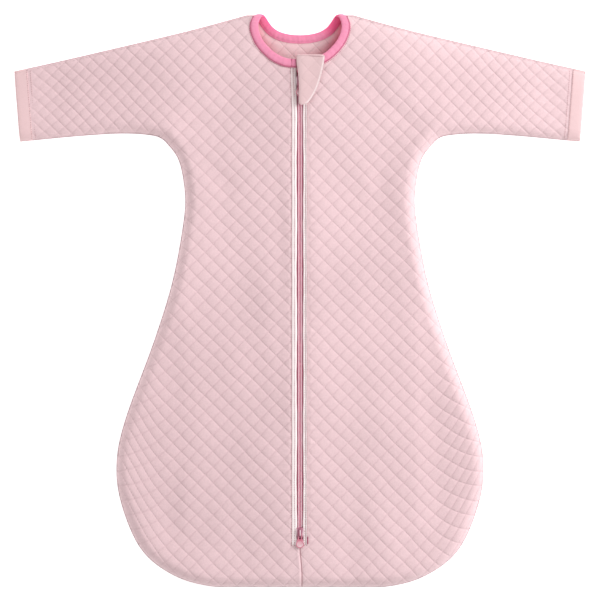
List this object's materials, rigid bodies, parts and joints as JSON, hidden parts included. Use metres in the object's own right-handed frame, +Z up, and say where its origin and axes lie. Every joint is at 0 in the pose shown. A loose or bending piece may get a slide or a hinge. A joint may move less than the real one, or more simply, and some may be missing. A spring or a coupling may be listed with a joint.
{
  "type": "baby sleeping bag",
  "caption": "Quilted baby sleeping bag with long sleeves, a full-length front zip that opens from either end and a chin flap, laid flat and closed.",
  "frame": {"origin": "under the middle of the outline, on the surface that the back lies on", "axes": "+X to the viewer's right across the sleeves, +Y from the hem towards the neck, +Z up out of the front"},
  "size_m": [0.745, 0.748, 0.0343],
  "materials": {
    "quilted_fabric": "quilted knit",
    "binding_jersey": "fine plain knit",
    "zip_tape": "woven tape",
    "zip_coil": "nylon coil",
    "thread": "spun thread",
    "slider_metal": "gloss enamel",
    "spring_steel": "bright",
    "pull_resin": "translucent gloss"
  },
  "bodies": {
    "bag": {"back_panel": "quilted_fabric", "front_left_panel": "quilted_fabric", "front_right_panel": "quilted_fabric", "neck_binding": "binding_jersey", "neck_binding_stitching": "thread", "neck_bartack": "thread", "inner_zip_guard": "quilted_fabric", "zip_tape_left": "zip_tape", "zip_tape_right": "zip_tape", "zip_coil_left": "zip_coil", "zip_coil_right": "zip_coil", "zip_top_stops": "zip_coil", "zip_bottom_stop": "zip_coil", "placket_stitching_left": "thread", "placket_stitching_right": "thread", "zip_end_bartack": "thread", "centre_front_seam": "thread"},
    "upper_slider": {"upper_slider_body": "slider_metal", "upper_slider_crown": "slider_metal", "upper_slider_spring": "spring_steel"},
    "upper_pull": {"upper_pull_tab": "pull_resin"},
    "lower_slider": {"lower_slider_body": "slider_metal", "lower_slider_crown": "slider_metal", "lower_slider_spring": "spring_steel"},
    "lower_pull": {"lower_pull_tab": "pull_resin"},
    "flap": {"chin_flap": "quilted_fabric"},
    "left_sleeve": {"left_sleeve_front": "quilted_fabric", "left_sleeve_back": "quilted_fabric", "left_cuff_hem": "quilted_fabric", "left_cuff_stitching": "thread"},
    "right_sleeve": {"right_sleeve_front": "quilted_fabric", "right_sleeve_back": "quilted_fabric", "right_cuff_hem": "quilted_fabric", "right_cuff_stitching": "thread"}
  },
  "joints": [
    {"name": "left_sleeve_fold", "type": "hinge", "parent": "bag", "child": "left_sleeve", "pos_m": [-0.176, 0.275, 0.026], "axis": [0, 1, 0], "range_deg": [0, 120]},
    {"name": "right_sleeve_fold", "type": "hinge", "parent": "bag", "child": "right_sleeve", "pos_m": [0.176, 0.275, 0.026], "axis": [0, -1, 0], "range_deg": [0, 120]},
    {"name": "upper_slider_slide", "type": "slide", "parent": "bag", "child": "upper_slider", "axis": [0, -1, 0], "range_m": [0, 0.3]},
    {"name": "upper_pull_turn", "type": "hinge", "parent": "upper_slider", "child": "upper_pull", "pos_m": [0, 0.2819, 0.0287], "axis": [-1, 0, 0], "range_deg": [0, 6]},
    {"name": "lower_slider_slide", "type": "slide", "parent": "bag", "child": "lower_slider", "axis": [0, 1, 0], "range_m": [0, 0.24]},
    {"name": "lower_pull_turn", "type": "hinge", "parent": "lower_slider", "child": "lower_pull", "pos_m": [0, -0.3041, 0.0287], "axis": [-1, 0, 0], "range_deg": [0, 165]},
    {"name": "chin_flap_turn", "type": "hinge", "parent": "bag", "child": "flap", "pos_m": [0.0137, 0.317, 0.03305], "axis": [-1, 0, 0], "range_deg": [0, 150]}
  ]
}
